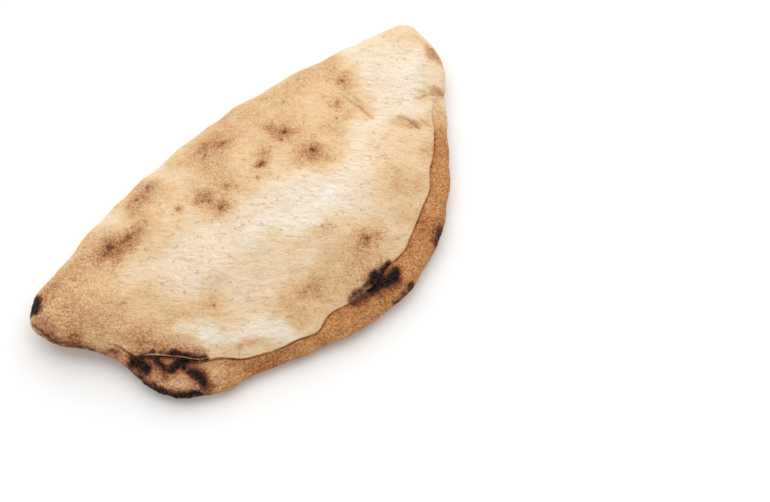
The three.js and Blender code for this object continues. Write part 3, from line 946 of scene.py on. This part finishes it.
def burnt_colour(tree, colour, burnt, patterns):
    """Black char with a little grey ash, ragged at the grains' size, in a scorched brown edge.

    Gives the colour with the burns in it, and how black it is.
    """
    fray = add(tree, "Math", (patterns["dust"], patterns["fray"]), operation="ADD")
    fray = add(tree, "Math", (fray, FRAY_CONTRAST, -FRAY_CONTRAST), operation="MULTIPLY_ADD")
    by_burn = add(tree, "Math", (burnt, 3), operation="MULTIPLY", use_clamp=True)
    fray = add(tree, "Math", (fray, by_burn), operation="MULTIPLY")
    scorched = add(tree, "Math", (fray, SCORCH_FRAY, burnt), operation="MULTIPLY_ADD")
    scorched = add(tree, "MapRange", (scorched, *SCORCHED))
    charred = add(tree, "Math", (burnt, fray), operation="ADD")
    black = add(tree, "MapRange", (charred, *BLACK))
    ashen = add(tree, "MapRange", (patterns["ash"], *ASHEN))
    colours = {0: ashen, 6: linear(CHAR_COLOUR), 7: linear(ASH_COLOUR)}
    char = add(tree, "Mix", colours, output=2, data_type="RGBA")
    for share, burn in [(scorched, linear(SCORCH_COLOUR)), (black, char)]:
        colour = add(tree, "Mix", {0: share, 6: colour, 7: burn}, output=2, data_type="RGBA")
    return colour, black


def crust_bump(tree, marks, patterns, cracks, black):
    """Relief too fine for the mesh: grains where it is sandy, wrinkles where pale, crackle on char."""
    grains = add(tree, "MapRange", (patterns["grains"], *GRAIN_TOPS))
    crackle = add(tree, "MapRange", (patterns["crackle"], *CRACKLE))
    grain_height, wrinkle_height = (
        add(tree, "Math", (marks["sandy"], *relief), operation="MULTIPLY_ADD")
        for relief in (GRAIN_RELIEF, WRINKLE_RELIEF)
    )
    crackle_height = add(tree, "Math", (black, CRACKLE_RELIEF), operation="MULTIPLY")
    height = add(tree, "Math", (cracks, CRACK_RELIEF), operation="MULTIPLY")
    for pattern, pattern_height in [
        (patterns["dust"], DUST_RELIEF),
        (grains, grain_height),
        (patterns["wrinkles"], wrinkle_height),
        (crackle, crackle_height),
    ]:
        height = add(tree, "Math", (pattern, pattern_height, height), operation="MULTIPLY_ADD")
    return add(tree, "Bump", {"Height": height, "Strength": BUMP_STRENGTH, "Distance": MM})


def stone_baked_dough():
    """Wheat dough baked on hot stone. Flour left on it keeps it pale and dull; where it browned it is
    sandy with grains of semolina, some dark and some light; where it burnt it is black and crackled."""
    material = bpy.data.materials.new("stone_baked_dough")
    material.use_nodes = True
    tree = material.node_tree
    marks = {
        name: add(tree, "Attribute", {}, output="Fac", attribute_name=name)
        for name in ("browning", "burnt", "sandy", "golden", "underside")
    }
    patterns = dough_patterns(tree)
    cracks = skin_cracks(tree, patterns)
    baked_on_stone(tree, marks, patterns)
    colour = crust_colour(tree, marks, patterns, cracks)
    colour, black = burnt_colour(tree, colour, marks["burnt"], patterns)
    roughness, specular = (
        add(tree, "Math", (black, char - dough, dough), operation="MULTIPLY_ADD")
        for dough, char in [(DOUGH_ROUGHNESS, CHAR_ROUGHNESS), (DOUGH_SPECULAR, CHAR_SPECULAR)]
    )
    shader = tree.nodes["Principled BSDF"]
    for name, socket in {
        "Base Color": colour,
        "Roughness": roughness,
        "Specular IOR Level": specular,
        "Normal": crust_bump(tree, marks, patterns, cracks, black),
    }.items():
        tree.links.new(socket, shader.inputs[name])
    shader.inputs["IOR"].default_value = DOUGH_IOR
    return material


def matt_white_board():
    """Smooth matt board, painted nearly white, with hardly any gloss."""
    material = bpy.data.materials.new("matt_white_board")
    material.use_nodes = True
    shader = material.node_tree.nodes["Principled BSDF"]
    shader.inputs["Base Color"].default_value = linear("#f8f8f8")
    shader.inputs["Roughness"].default_value = 0.9
    shader.inputs["Specular IOR Level"].default_value = 0.1
    return material


# ---- Studio -------------------------------------------------------------------------------

CAMERA_PLACE = Vector((-257.66, -368.89, 883.29)) * MM
CAMERA_TARGET = Vector((28.05, -51.02, 18)) * MM
LENS = 85  # mm, as the camera's own data is
SENSOR_WIDTH = 36
NEAR_CLIP = 10 * MM

# Wide softboxes, as suns: the key on the side of the fold and the blunt end, and a weaker and
# warmer fill across from it. Each has where it shines from, strength, spread in degrees, colour.
SOFTBOXES = {
    "key_softbox": ((0.74, 0.67, 1.0), 2.5, 100, (1, 1, 1)),
    "fill_softbox": ((-0.5, -0.6, 1.1), 0.92, 120, (1, 0.972, 0.92)),
}
WALLS_STRENGTH = 0.34
FLOOR_HALF = 4  # metres


def add_camera(scene):
    camera = bpy.data.objects.new("camera", bpy.data.cameras.new("camera"))
    camera.data.lens = LENS
    camera.data.sensor_width = SENSOR_WIDTH
    camera.data.clip_start = NEAR_CLIP
    camera.location = CAMERA_PLACE
    camera.rotation_euler = (CAMERA_TARGET - CAMERA_PLACE).to_track_quat("-Z", "Y").to_euler()
    scene.collection.objects.link(camera)
    scene.camera = camera


def add_lights(scene):
    for name, (shines_from, strength, spread, colour) in SOFTBOXES.items():
        light = bpy.data.objects.new(name, bpy.data.lights.new(name, "SUN"))
        light.data.energy = strength
        light.data.color = colour
        light.data.angle = math.radians(spread)
        light.rotation_euler = Vector(shines_from).to_track_quat("Z", "Y").to_euler()
        scene.collection.objects.link(light)
    walls = bpy.data.worlds.new("studio_walls")
    walls.use_nodes = True
    walls.node_tree.nodes["Background"].inputs["Color"].default_value = (1, 1, 1, 1)
    walls.node_tree.nodes["Background"].inputs["Strength"].default_value = WALLS_STRENGTH
    scene.world = walls
    scene.view_settings.view_transform = "Standard"


def add_floor(scene):
    mesh = bpy.data.meshes.new("floor")
    corners = [(-1, -1, 0), (1, -1, 0), (1, 1, 0), (-1, 1, 0)]
    mesh.from_pydata([Vector(corner) * FLOOR_HALF for corner in corners], [], [(0, 1, 2, 3)])
    mesh.materials.append(matt_white_board())
    floor = bpy.data.objects.new("floor", mesh)
    scene.collection.objects.link(floor)


add_camera(bpy.context.scene)
add_lights(bpy.context.scene)
add_floor(bpy.context.scene)
skin = calzone_skin()
skin.data.materials.append(stone_baked_dough())
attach(skin, "root")
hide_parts("calzone")
